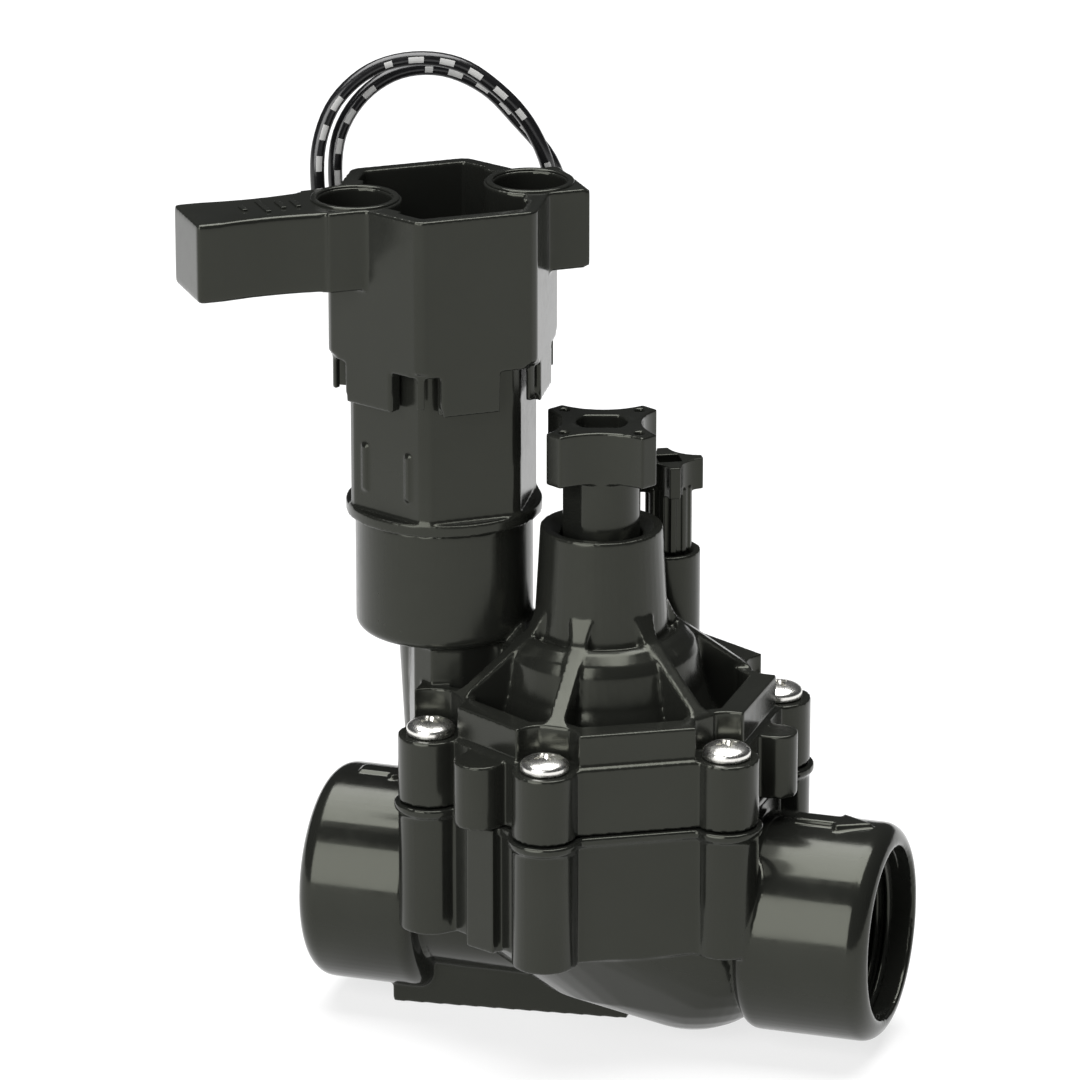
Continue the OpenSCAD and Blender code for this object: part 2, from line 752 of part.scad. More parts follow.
lead_2 = [
  [-45.5, 17, 116.5], [-50, 22.5, 116.5], [-54.5, 28.5, 119], [-56.5, 34, 125.5], [-52.5, 38.5, 132.5],
  [-45, 40, 137.5], [-37, 39.5, 141.5], [-29, 38, 145.5], [-22.5, 35.5, 151], [-18.5, 32, 158.5],
  [-20, 29, 167.5], [-26, 27, 175.5], [-32, 25, 182], [-39.5, 21.5, 186], [-47, 17, 186],
  [-53, 12.5, 182], [-56.5, 8.5, 175], [-57, 7, 166], [-56, 8.5, 157], [-55, 12.5, 149],
  [-53.5, 17.5, 141.5], [-51, 22, 134], [-48.5, 26, 126], [-46, 29, 117.5], [-44, 31, 109],
  [-42.5, 31.5, 100], [-42, 32, 91], [-42, 32, 82], [-42, 32, 73], [-42, 32, 64],
  [-42, 32, 55], [-42, 32, 46], [-42, 32, 37], [-42.5, 32.5, 28], [-44.5, 33, 20],
  [-49, 35, 13.5], [-54.5, 37.5, 9], [-60.5, 42.5, 5]
];
lead_split = 25;                   // where each lead passes from the solenoid to the valve
coil_x = -45;
coil_y = 50;
coil_r_out = 18.6;
coil_r_in = 11.4;
coil_h = 6;

function upper(route) = [for (i = [0 : lead_split]) route[i]];
function lower(route) = [for (i = [lead_split : len(route) - 1])
  i == lead_split ? route[i] - [0, 0, 0.4] : route[i]];

module lead_piece(route) {
  color("#141414") cord(route, lead_d);
}

module lead_1_upper() { lead_piece(upper(lead_1)); }
module lead_1_lower() { lead_piece(lower(lead_1)); }
module lead_2_upper() { lead_piece(upper(lead_2)); }
module lead_2_lower() { lead_piece(lower(lead_2)); }

module lead_coil() {
  color("#141414") translate([coil_x, coil_y, 0]) tube(coil_r_out, coil_r_in, coil_h);
}

// a plastic tie round the coil's turns
module lead_tie() {
  mid = (coil_r_out + coil_r_in) / 2;
  wide = coil_r_out - coil_r_in + 2.4;
  color("#26272a")
  translate([coil_x, coil_y, 0]) rotate([0, 0, 60]) translate([mid, 0, 0]) difference() {
    translate([-wide / 2, -1.6, 0]) cube([wide, 3.2, coil_h + 1]);
    translate([-wide / 2 + 1, -2, -1]) cube([wide - 2, 4, coil_h + 1.2]);
  }
}

valve_body();
bonnet();
bonnet_screws();
diaphragm();
diaphragm_plate();
seat_washer();
seat_guide();
diaphragm_screw();
diaphragm_nut();
metering_pin();
main_spring();
flow_handle();
flow_stem();
stem_clip();
stem_o_ring();
bleed_screw();
bleed_o_ring();
solenoid_housing();
solenoid_cap();
coil_shell();
bobbin();
coil_winding();
core_tube();
fixed_core();
shading_ring();
solenoid_o_ring();
plunger();
plunger_seal();
plunger_spring();
lever_sleeve();
lead_grommet();
lead_1_upper();
lead_1_lower();
lead_2_upper();
lead_2_lower();
lead_coil();
lead_tie();
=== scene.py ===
import json
import math

import bmesh
import bpy
from mathutils import Matrix, Vector


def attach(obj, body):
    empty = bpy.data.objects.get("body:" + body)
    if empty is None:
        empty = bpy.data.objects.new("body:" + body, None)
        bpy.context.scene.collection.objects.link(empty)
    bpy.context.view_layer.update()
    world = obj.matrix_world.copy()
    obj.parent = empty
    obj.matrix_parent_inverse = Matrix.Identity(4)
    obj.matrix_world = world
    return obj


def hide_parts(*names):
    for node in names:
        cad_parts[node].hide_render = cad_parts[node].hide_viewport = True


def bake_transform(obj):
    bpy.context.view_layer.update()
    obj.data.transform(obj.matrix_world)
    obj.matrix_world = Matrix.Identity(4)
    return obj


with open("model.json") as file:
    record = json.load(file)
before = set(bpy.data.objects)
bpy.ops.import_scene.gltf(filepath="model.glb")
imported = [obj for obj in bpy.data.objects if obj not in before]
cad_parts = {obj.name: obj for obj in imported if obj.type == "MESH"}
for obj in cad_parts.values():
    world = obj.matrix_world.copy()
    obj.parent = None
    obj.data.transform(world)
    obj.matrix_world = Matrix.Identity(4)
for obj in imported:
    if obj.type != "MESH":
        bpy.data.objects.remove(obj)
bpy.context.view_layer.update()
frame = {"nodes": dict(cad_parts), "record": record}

MM = 0.001
scene = bpy.context.scene

# The valve's main places, in millimetres and degrees in the shared frame
PORT_Z = 24.5
INLET_MOUTH = -57.0
OUTLET_MOUTH = 60.0
BOLT_R = 36.0
BOLT_ANGLES = (-140, -90, -30, 30, 90, 140)
BOLT_SEAT = 64.6
RIB_ANGLES = (-140, -90, -32, 32, 90, 140)
RIB_INNER = 13.0
RIB_OUTER = 30.0
HANDLE_TOP = 124.2
HANDLE_TURN = 17.0
SOLENOID = (-32.4, 0.0)
SLEEVE_TURN = 37.5
SLEEVE_TOP = 168.0
LEAD_D = 2.9
COIL = (-45.0, 50.0)


# ------------------------------------------------------------------ camera

# Fitted to the photo: degrees round and above the valve, the eye's place in millimetres from the ports'
# height on the diaphragm's axis, and the lens
AZIMUTH = 18.0
ELEVATION = 18.8
TO_RIGHT = -12.008
UPWARDS = 71.25
DISTANCE = 1391.7
LENS = 233.33
SENSOR = 36


def make_camera():
    azimuth = math.radians(AZIMUTH)
    elevation = math.radians(ELEVATION)
    right = Vector((math.cos(azimuth), math.sin(azimuth), 0))
    back = Vector((
        math.sin(azimuth) * math.cos(elevation),
        -math.cos(azimuth) * math.cos(elevation),
        math.sin(elevation),
    ))
    up = back.cross(right)
    eye = Vector((0, 0, PORT_Z)) + TO_RIGHT * right + UPWARDS * up + DISTANCE * back
    data = bpy.data.cameras.new("camera")
    data.sensor_width = SENSOR
    data.lens = LENS
    data.clip_start = 0.1
    data.clip_end = 30
    camera = bpy.data.objects.new("camera", data)
    camera.matrix_world = Matrix.Translation(eye * MM) @ Matrix((right, up, back)).transposed().to_4x4()
    scene.collection.objects.link(camera)
    scene.camera = camera


make_camera()


# ----------------------------------------------------- shapes, in millimetres

def prism(outline, z0, z1):
    n = len(outline)
    verts = [(x, y, z) for z in (z0, z1) for x, y in outline]
    faces = [tuple(range(n))[::-1], tuple(range(n, 2 * n))]
    faces += [(i, (i + 1) % n, n + (i + 1) % n, n + i) for i in range(n)]
    return verts, faces


def block(x0, x1, y0, y1, z0, z1):
    return prism([(x0, y0), (x1, y0), (x1, y1), (x0, y1)], z0, z1)


def turned(profile, sides=64, closed=False):
    """A profile of (radius, height) points turned about the Z axis."""
    verts, rows = [], []
    for r, z in profile:
        if r == 0:
            rows.append([len(verts)] * sides)
            verts.append((0, 0, z))
        else:
            rows.append(list(range(len(verts), len(verts) + sides)))
            verts += [(r * math.cos(2 * math.pi * i / sides), r * math.sin(2 * math.pi * i / sides), z)
                      for i in range(sides)]
    faces = []
    pairs = list(zip(rows, rows[1:])) + ([(rows[-1], rows[0])] if closed else [])
    for low, high in pairs:
        for i in range(sides):
            k = (i + 1) % sides
            corners = [low[i], low[k], high[k], high[i]]
            face = [c for n, c in enumerate(corners) if c not in corners[:n]]
            if len(face) > 2:
                faces.append(tuple(face))
    return verts, faces


def skinned(rings, count):
    """The faces of a tube of rings of count points each, closed at both ends."""
    faces = []
    for i in range(rings - 1):
        low, high = i * count, (i + 1) * count
        faces += [(low + k, low + (k + 1) % count, high + (k + 1) % count, high + k) for k in range(count)]
    return faces + [tuple(range(count)), tuple((rings - 1) * count + k for k in reversed(range(count)))]


def swept(points, radius, sides=12, scale=None):
    """A round tube along points, with closed ends."""
    pts = [Vector(p) for p in points]
    last = len(pts) - 1
    tangents = [(pts[min(i + 1, last)] - pts[max(i - 1, 0)]).normalized() for i in range(last + 1)]
    normal = tangents[0].orthogonal().normalized()
    verts = []
    for i, (p, t) in enumerate(zip(pts, tangents)):
        normal = (normal - t * normal.dot(t)).normalized()
        across = t.cross(normal)
        r = radius * (scale[i] if scale else 1)
        verts += [tuple(p + r * (math.cos(a) * normal + math.sin(a) * across))
                  for a in (2 * math.pi * k / sides for k in range(sides))]
    return verts, skinned(len(pts), sides)


def placed(shape, matrix):
    return [tuple(matrix @ Vector(v)) for v in shape[0]], shape[1]


def at(x=0.0, y=0.0, z=0.0, turn=0.0):
    return Matrix.Translation((x, y, z)) @ Matrix.Rotation(math.radians(turn), 4, "Z")


def at_polar(radius, angle, z):
    return Matrix.Rotation(math.radians(angle), 4, "Z") @ Matrix.Translation((radius, 0, z))


def mesh_of(name, shapes):
    bm = bmesh.new()
    for verts, faces in shapes:
        made = [bm.verts.new([c * MM for c in v]) for v in verts]
        for f in faces:
            bm.faces.new([made[i] for i in f])
    bmesh.ops.recalc_face_normals(bm, faces=bm.faces)
    mesh = bpy.data.meshes.new(name)
    bm.to_mesh(mesh)
    bm.free()
    return mesh


def object_of(name, mesh):
    obj = bpy.data.objects.new(name, mesh)
    scene.collection.objects.link(obj)
    return obj


def settle(obj):
    """Applies the object's modifiers."""
    bpy.context.view_layer.update()
    made = bpy.data.meshes.new_from_object(obj.evaluated_get(bpy.context.evaluated_depsgraph_get()))
    obj.modifiers.clear()
    obj.data = made


def smooth_shaded(obj):
    for polygon in obj.data.polygons:
        polygon.use_smooth = True
    return obj


def round_edges(obj, width, segments, angle):
    """Adds a bevel, width in millimetres, on the edges sharper than angle."""
    bevel = obj.modifiers.new("edges", "BEVEL")
    bevel.width = width * MM
    bevel.segments = segments
    bevel.limit_method = "ANGLE"
    bevel.angle_limit = math.radians(angle)
    return bevel


def soften(obj, name, rounds, group=""):
    """Adds a number of rounds of smoothing, on one vertex group or on all points."""
    smooth = obj.modifiers.new(name, "SMOOTH")
    smooth.factor = 0.5
    smooth.iterations = rounds
    smooth.vertex_group = group


def even_shading(obj):
    """Adds normals that keep the larger faces flat."""
    even = obj.modifiers.new("even", "WEIGHTED_NORMAL")
    even.mode = "FACE_AREA"
    even.weight = 50


def finished(obj, body, material, nodes=(), bend=None):
    """Gives a piece its look and its body.

    When bend is given, the piece is not attached to body but has its placement baked into its mesh;
    the moving body and the heights that bend names are not used.
    """
    obj.data.materials.clear()
    obj.data.materials.append(material)
    if nodes:
        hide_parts(*nodes)
    if bend:
        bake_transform(obj)
    else:
        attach(obj, body)
    return obj


def hard_piece(name, shapes, body, material, nodes=(), edge=0.0, segments=3, bend=None):
    """A piece from closed shapes, with its sharp edges rounded by edge millimetres."""
    obj = smooth_shaded(object_of(name, mesh_of(name, shapes)))
    if edge:
        round_edges(obj, edge, segments, angle=35).harden_normals = True
        settle(obj)
    return finished(obj, body, material, nodes, bend)


def moulding(name, node, body, material, grain, rounds, keep, add=(), softer=None):
    """The CAD node with details added, and every edge rounded as a mould leaves it.

    grain is the new skin's voxel in millimetres, rounds says how often it is smoothed, and keep is the
    share of its faces that stay. The points for which softer, a function of a place in millimetres, is
    true are smoothed more.
    """
    weld = 0.002
    softer_rounds = 30
    bm = bmesh.new()
    bm.from_mesh(frame["nodes"][node].data)
    bmesh.ops.remove_doubles(bm, verts=bm.verts, dist=weld * MM)
    if add:
        bm.from_mesh(mesh_of(name + "_details", add))
    mesh = bpy.data.meshes.new(name)
    bm.to_mesh(mesh)
    bm.free()
    obj = object_of(name, mesh)
    remesh = obj.modifiers.new("skin", "REMESH")
    remesh.mode = "VOXEL"
    remesh.voxel_size = grain * MM
    remesh.use_smooth_shade = True
    soften(obj, "soften", rounds)
    if softer:
        settle(obj)
        chosen = [v.index for v in obj.data.vertices if softer(v.co / MM)]
        obj.vertex_groups.new(name="softer").add(chosen, 1.0, "REPLACE")
        soften(obj, "softer", softer_rounds, "softer")
    thin = obj.modifiers.new("thin", "DECIMATE")
    thin.ratio = keep
    even_shading(obj)
    settle(obj)
    finished(obj, body, material, [node])


# --------------------------------------------------------------- materials

def tree_of(name):
    material = bpy.data.materials.new(name)
    material.use_nodes = True
    tree = material.node_tree
    tree.nodes.clear()
    shader = tree.nodes.new("ShaderNodeBsdfPrincipled")
    output = tree.nodes.new("ShaderNodeOutputMaterial")
    tree.links.new(shader.outputs["BSDF"], output.inputs["Surface"])
    return material, tree, shader


def put(tree, kind, values=None, **properties):
    """A node with its properties set, and its inputs set or linked."""
    node = tree.nodes.new(kind)
    for key, value in properties.items():
        setattr(node, key, value)
    for key, value in (values or {}).items():
        if isinstance(value, bpy.types.NodeSocket):
            tree.links.new(value, node.inputs[key])
        else:
            node.inputs[key].default_value = value
    return node


def object_place(tree):
    return put(tree, "ShaderNodeTexCoord").outputs["Object"]


def spread(tree, value, low, high, start=0.0, stop=1.0):
    """Maps a value between start and stop to low to high."""
    return put(tree, "ShaderNodeMapRange", {
        "Value": value, "From Min": start, "From Max": stop, "To Min": low, "To Max": high,
    }).outputs["Result"]


def maths(tree, operation, a, b):
    return put(tree, "ShaderNodeMath", {0: a, 1: b}, operation=operation).outputs[0]


def noise(tree, where, scale, detail=3.0, roughness=0.5):
    return put(tree, "ShaderNodeTexNoise", {
        "Vector": where, "Scale": scale, "Detail": detail, "Roughness": roughness,
    }).outputs["Fac"]


def relief(tree, height, strength, distance):
    return put(tree, "ShaderNodeBump", {"Strength": strength, "Distance": distance, "Height": height})


def blended(tree, amount, first, second):
    """Colour from first to second by amount."""
    node = put(tree, "ShaderNodeMix", data_type="RGBA")
    for key, kind, value in (("Factor", "VALUE", amount), ("A", "RGBA", first), ("B", "RGBA", second)):
        socket = next(s for s in node.inputs if s.name == key and s.type == kind)
        if isinstance(value, bpy.types.NodeSocket):
            tree.links.new(value, socket)
        else:
            socket.default_value = value
    return next(s for s in node.outputs if s.type == "RGBA")


def shade(colour, gain=1.0, lift=0.0):
    """A colour made lighter or darker, with its alpha."""
    return [min(1.0, c * gain + lift) for c in colour] + [1.0]


def plastic(name, colour, rough, grain, swirl=0.25, edge=0.5, shine=0.5, tint=(1.0, 1.0, 1.0)):
    """Moulded plastic: faint flow marks, a fine matt grain, rubbed edges and uneven gloss."""
    material, tree, shader = tree_of(name)
    place = object_place(tree)
    flow = noise(tree, place, scale=38.0, detail=4.0, roughness=0.6)
    fine = noise(tree, place, scale=2600.0, detail=2.0, roughness=0.7)
    scuffs = noise(tree, place, scale=420.0, detail=6.0, roughness=0.75)
    pale = shade(colour, gain=1 + swirl, lift=0.002)
    dark = shade(colour, gain=1 - swirl)
    rubbed = shade(colour, gain=2.2, lift=0.012)
    sharpness = put(tree, "ShaderNodeNewGeometry").outputs["Pointiness"]
    worn = spread(tree, sharpness, 0.0, edge, start=0.52, stop=0.62)
    mottled = maths(tree, "MULTIPLY", flow, scuffs)
    gloss = spread(tree, mottled, rough - 0.05, rough + 0.08, start=0.1, stop=0.45)
    matt = relief(tree, fine, strength=grain, distance=0.00006)
    waves = relief(tree, flow, strength=grain * 1.5, distance=0.0003)
    tree.links.new(matt.outputs["Normal"], waves.inputs["Normal"])
    tree.links.new(blended(tree, worn, blended(tree, flow, dark, pale), rubbed), shader.inputs["Base Color"])
    tree.links.new(gloss, shader.inputs["Roughness"])
    tree.links.new(waves.outputs["Normal"], shader.inputs["Normal"])
    shader.inputs["Specular IOR Level"].default_value = shine
    shader.inputs["Specular Tint"].default_value = list(tint) + [1.0]
    return material


def metal(name, colour, rough, brush=(900.0, 900.0, 60.0), depth=0.1):
    """Machined or plated metal with fine tool marks and slight tarnish."""
    material, tree, shader = tree_of(name)
    place = object_place(tree)
    stretched = put(tree, "ShaderNodeMapping", {"Vector": place, "Scale": brush}).outputs["Vector"]
    marks = noise(tree, stretched, scale=1.0, detail=5.0, roughness=0.7)
    cloud = noise(tree, place, scale=260.0, detail=4.0, roughness=0.6)
    tarnished = shade(colour, gain=0.85)
    tree.links.new(blended(tree, cloud, tarnished, shade(colour)), shader.inputs["Base Color"])
    tree.links.new(spread(tree, marks, rough * 0.6, rough * 1.4), shader.inputs["Roughness"])
    tool_marks = relief(tree, marks, strength=depth, distance=0.00004)
    tree.links.new(tool_marks.outputs["Normal"], shader.inputs["Normal"])
    shader.inputs["Metallic"].default_value = 1.0
    return material


def wound(name):
    """Enamelled copper wire wound in layers, with painted shade in the gaps between its turns."""
    material, tree, shader = tree_of(name)
    place = object_place(tree)
    turns = put(tree, "ShaderNodeTexWave", {
        "Vector": place, "Scale": 620.0, "Distortion": 0.6, "Detail": 1.0, "Detail Scale": 2.0,
    }, wave_type="BANDS", bands_direction="Z").outputs["Fac"]
    # the darker copper between the turns is painted shade in the grooves, not a colour of the wire
    painted_gap_shade = (0.16, 0.035, 0.012, 1)
    wire = (0.72, 0.24, 0.085, 1)
    tree.links.new(blended(tree, turns, painted_gap_shade, wire), shader.inputs["Base Color"])
    tree.links.new(spread(tree, noise(tree, place, scale=900.0), 0.22, 0.42), shader.inputs["Roughness"])
    layers = relief(tree, turns, strength=0.8, distance=0.0001)
    tree.links.new(layers.outputs["Normal"], shader.inputs["Normal"])
    shader.inputs["Metallic"].default_value = 0.85
    return material


def insulation(name):
    """Glossy wire insulation with rows of pale dashes printed along it, in millimetres."""
    dash_step = 6.2
    dash_gap = 3.2
    row_step = 42.0
    row_gap = 10.0
    printed_share = 0.07
    black = (0.006, 0.006, 0.0065, 1)
    print_colour = (0.4, 0.4, 0.39, 1)
    material, tree, shader = tree_of(name)
    place = object_place(tree)
    along = put(tree, "ShaderNodeAttribute", attribute_name="along").outputs["Fac"]
    around = put(tree, "ShaderNodeAttribute", attribute_name="around").outputs["Fac"]

    def repeated(step, gap):
        return maths(tree, "GREATER_THAN", maths(tree, "PINGPONG", along, step / 2), gap / 2)

    dashes = maths(tree, "MULTIPLY", repeated(dash_step, dash_gap), repeated(row_step, row_gap))
    ink = maths(tree, "MULTIPLY", dashes, maths(tree, "GREATER_THAN", printed_share, around))
    tree.links.new(blended(tree, ink, black, print_colour), shader.inputs["Base Color"])
    tree.links.new(spread(tree, noise(tree, place, scale=500.0), 0.16, 0.3), shader.inputs["Roughness"])
    waves = relief(tree, noise(tree, place, scale=160.0), strength=0.05, distance=0.0002)
    tree.links.new(waves.outputs["Normal"], shader.inputs["Normal"])
    shader.inputs["IOR"].default_value = 1.52
    return material


OLIVE = (0.97, 1.0, 0.85)
BLACK = plastic("moulded_black", (0.0095, 0.01, 0.0085), 0.15, grain=0.025, edge=0.2, shine=0.34, tint=OLIVE)
BLACK_SATIN = plastic("moulded_black_satin", (0.0105, 0.011, 0.0092), 0.2, grain=0.045, edge=0.22,
                      shine=0.33, tint=OLIVE)
STEEL = metal("bright_steel", (0.86, 0.85, 0.81), 0.27, brush=(500.0, 500.0, 300.0), depth=0.16)
MAGNETIC = metal("magnetic_steel", (0.46, 0.46, 0.47), 0.34, brush=(700.0, 700.0, 40.0), depth=0.25)
TINNED = metal("tinned_copper", (0.72, 0.42, 0.26), 0.28)
FINISH = {
    "moulded_black": BLACK,
    "bright_steel": STEEL,
    "rubber_black": plastic("rubber_black", (0.018, 0.018, 0.018), 0.62, grain=0.3, edge=0.25),
    "inner_plastic": plastic("inner_plastic", (0.05, 0.052, 0.055), 0.42, grain=0.12),
    "potting": plastic("potting", (0.016, 0.016, 0.017), 0.12, grain=0.02, swirl=0.5, edge=0.0),
    "magnetic_steel": MAGNETIC,
    "bobbin_plastic": plastic("bobbin_plastic", (0.66, 0.6, 0.46), 0.4, grain=0.1, swirl=0.08, edge=0.15),
    "copper": wound("copper"),
    "lead_insulation": insulation("lead_insulation"),
    "tie_plastic": plastic("tie_plastic", (0.02, 0.021, 0.024), 0.33, grain=0.08),
}


# ------------------------------------------------------------------- leads

# The leads' routes, from the housing over the sleeve and down to the coil
LEAD_1 = [
    (-45.5, 17, 119.5), (-50, 22.5, 121), (-53.5, 28, 125.5), (-52.5, 32.5, 132.5), (-46, 35, 137.5),
    (-38, 35.5, 141), (-30, 34.5, 145), (-23.5, 32, 150.5), (-19.5, 29, 158), (-19.5, 26, 167),
    (-23, 24, 176), (-28.5, 21.5, 183), (-35.5, 19, 188), (-43.5, 15, 189.5), (-51, 11, 187.5),
    (-56.5, 6.5, 182), (-59, 3.5, 174), (-59, 2.5, 165), (-58.5, 4.5, 156.5), (-58, 8, 148.5),
    (-57, 11.5, 140.5), (-56, 14.5, 132.5), (-55.5, 17, 124), (-54.5, 19, 115.5), (-52, 21.5, 107.5),
    (-49, 24, 100), (-46.5, 26, 91.5), (-45, 27.5, 83), (-44, 28, 74), (-44, 28, 65),
    (-44, 28, 56), (-44, 28, 47), (-44, 28, 38), (-44, 28, 29), (-45, 29, 20),
    (-48.5, 31.5, 11.5), (-54, 35.5, 4.5), (-59.5, 41, 1.5),
]
LEAD_2 = [
    (-45.5, 17, 116.5), (-50, 22.5, 116.5), (-54.5, 28.5, 119), (-56.5, 34, 125.5), (-52.5, 38.5, 132.5),
    (-45, 40, 137.5), (-37, 39.5, 141.5), (-29, 38, 145.5), (-22.5, 35.5, 151), (-18.5, 32, 158.5),
    (-20, 29, 167.5), (-26, 27, 175.5), (-32, 25, 182), (-39.5, 21.5, 186), (-47, 17, 186),
    (-53, 12.5, 182), (-56.5, 8.5, 175), (-57, 7, 166), (-56, 8.5, 157), (-55, 12.5, 149),
    (-53.5, 17.5, 141.5), (-51, 22, 134), (-48.5, 26, 126), (-46, 29, 117.5), (-44, 31, 109),
    (-42.5, 31.5, 100), (-42, 32, 91), (-42, 32, 82), (-42, 32, 73), (-42, 32, 64),
    (-42, 32, 55), (-42, 32, 46), (-42, 32, 37), (-42.5, 32.5, 28), (-44.5, 33, 20),
    (-49, 35, 13.5), (-54.5, 37.5, 9), (-60.5, 42.5, 5),
]


def coil_turns(start, z):
    """A lead's turns in the coil, inwards from its outside."""
    turns, per_turn = 1.35, 14
    outer, pitch = 17.0, 3.1
    steps = round(turns * per_turn)
    made = []
    for i in range(1, steps + 1):
        turn = turns * i / steps
        a = math.radians(start - 360 * turn)
        r = outer - pitch * turn
        made.append((COIL[0] + r * math.cos(a), COIL[1] + r * math.sin(a), z))
    return made


def smooth_line(points, per=5):
    """A smooth curve through points, with per steps between each two."""
    pts = [Vector(p) for p in points]
    pts = [2 * pts[0] - pts[1]] + pts + [2 * pts[-1] - pts[-2]]
    line = []
    for a, b, c, d in zip(pts, pts[1:], pts[2:], pts[3:]):
        for k in range(per):
            t = k / per
            line.append(0.5 * (2 * b + (c - a) * t + (2 * a - 5 * b + 4 * c - d) * t * t
                               + (3 * b - a - 3 * c + d) * t ** 3))
    return line + [pts[-2]]


def bare_end(name, line):
    """The stripped and tinned wire at a lead's end, with a rounded tip."""
    wire_r = 0.62
    end = line[-1]
    heading = (line[-1] - line[-2]).normalized()
    copper = [end + heading * d for d in (-0.5, 1.5, 3.5, 4.2)]
    shape = swept(copper, wire_r, scale=(1, 1, 1, 0.8))
    return hard_piece(name, [shape], "valve", TINNED)


def print_marks(obj, line, verts, sides):
    """Stores on each point of a lead how far along it is, and how far round from the printed side."""
    facing = Vector((-0.25, -0.95, 0.15))
    along, reach = [], 0.0
    for i, p in enumerate(line):
        reach += (p - line[i - 1]).length if i else 0
        along += [reach] * sides
    top = max(range(len(line)), key=lambda i: line[i].z)
    printed = max(range(sides), key=lambda k: (Vector(verts[top * sides + k]) - line[top]).dot(facing))
    turns_off = [abs((k - printed + sides / 2) % sides - sides / 2) / sides for k in range(sides)]
    for key, values in (("along", along), ("around", turns_off * len(line))):
        obj.data.attributes.new(key, "FLOAT", "POINT").data.foreach_set("value", values)


def lead(name, route, start, z, nodes):
    """One lead along its route from the solenoid and round the coil; it is not attached to the solenoid's
    body.
    """
    sides = 12
    above_floor = 0.05
    line = smooth_line(route + coil_turns(start, z))
    for p in line:
        p.z = max(p.z, LEAD_D / 2 + above_floor)
    shape = swept(line, LEAD_D / 2, sides)
    obj = smooth_shaded(object_of(name, mesh_of(name, [shape])))
    print_marks(obj, line, shape[0], sides)
    tip = bare_end(name + "_bare_end", line)
    obj.data.materials.append(FINISH["lead_insulation"])
    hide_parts(*nodes)
    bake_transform(obj)


lead("lead_1", LEAD_1, 210, 1.5, ["lead_1_upper", "lead_1_lower", "lead_coil"])
lead("lead_2", LEAD_2, 207, 4.5, ["lead_2_upper", "lead_2_lower"])


def make_tie():
    """The strap over the coil's turns, with its locking head."""
    from_middle, angle = 15.0, 60
    half, low, top = 4.7, 0.15, 6.9
    inner, under = half - 0.9, top - 0.95
    half_width = 1.5
    strap = prism([(-half, low), (-inner, low), (-inner, under), (inner, under), (inner, low), (half, low),
                   (half, top), (-half, top)], -half_width, half_width)
    upright = Matrix.Rotation(math.radians(90), 4, "X")
    teeth = [block(i - 3.5, i - 3.2, -1.0, 1.0, top - 0.1, top + 0.08) for i in range(7)]
    head = block(half - 1.6, half + 0.1, -1.55, 1.55, 3.0, 6.6)
    where = at(COIL[0], COIL[1], 0, angle) @ Matrix.Translation((from_middle, 0, 0))
    shapes = [placed(strap, where @ upright), placed(head, where)] + [placed(t, where) for t in teeth]
    hard_piece("coil_tie", shapes, "valve", FINISH["tie_plastic"], ["lead_tie"],
               edge=0.14, segments=2)


make_tie()


# --------------------------------------------------------------- the valve

def rib_top(r):
    """A rib's height: it falls steeply from the turret to its knee, and then gently to the rim."""
    knee_r, knee_z = 15, 83
    drop, run = (11.5, 15) if r >= knee_r else (5, 2.4)
    return knee_z - (r - knee_r) * drop / run


def rib_flare(r):
    """Half width of a rib, which spreads where it meets the turret and the rim."""
    at_turret = 0.9 * math.exp((RIB_INNER - r) / 1.6)
    at_rim = 1.5 * math.exp((r - RIB_OUTER) / 1.4)
    return 1.35 + at_turret + at_rim


def rib_web():
    """A rib along the X axis, a little under the CAD rib's top, that flares at both its ends."""
    low, under = 62.0, 0.02
    step, count = 0.75, 24
    radii = [RIB_INNER + step * i for i in range(count)]
    verts = [(r, s * rib_flare(r), z) for r in radii for s, z in
             ((-1, low), (1, low), (1, rib_top(r) - under), (-1, rib_top(r) - under))]
    faces = [(4 * i + k, 4 * i + (k + 1) % 4, 4 * i + 4 + (k + 1) % 4, 4 * i + 4 + k)
             for i in range(count - 1) for k in range(4)]
    return verts, faces + [(3, 2, 1, 0), tuple(4 * (count - 1) + k for k in range(4))]


def bonnet_details():
    """The ribs' flares, and the neck's foot, which spreads over the rim beside it."""
    foot = [(-37.5, -7), (-34.5, -12.5), (-30, -15.3), (-24.5, -13), (-20, -8), (-33, -2)]
    return [placed(rib_web(), at(turn=a)) for a in RIB_ANGLES] + [prism(foot, 60, 79.6)]


moulding("bonnet_shell", "bonnet", "valve", BLACK_SATIN, grain=0.38, rounds=4, keep=0.3, add=bonnet_details())
moulding("body_shell", "valve_body", "valve", BLACK, grain=0.42, rounds=5, keep=0.26)


def port_thread(name, mouth, inward):
    """The taper-pipe thread's crests inside a port, which fade out at both ends."""
    pitch, turns, per_turn = 2.21, 8, 56
    start, fade_steps = 3.2, 24
    root = 17.35
    crest = [(root, -0.98), (16.35, -0.2), (16.25, 0), (16.35, 0.2), (root, 0.98)]
    steps = turns * per_turn
    verts = []
    for i in range(steps + 1):
        a = 2 * math.pi * i / per_turn
        fade = min(1.0, i / fade_steps, (steps - i) / fade_steps)
        for r, s in crest:
            reach = root - (root - r) * fade
            x = mouth + inward * (start + pitch * i / per_turn + s)
            verts.append((x, reach * math.cos(a), PORT_Z + reach * math.sin(a)))
    shape = (verts, skinned(steps + 1, len(crest)))
    hard_piece(name, [shape], "valve", BLACK)


port_thread("outlet_thread", OUTLET_MOUTH, -1)
port_thread("inlet_thread", INLET_MOUTH, 1)


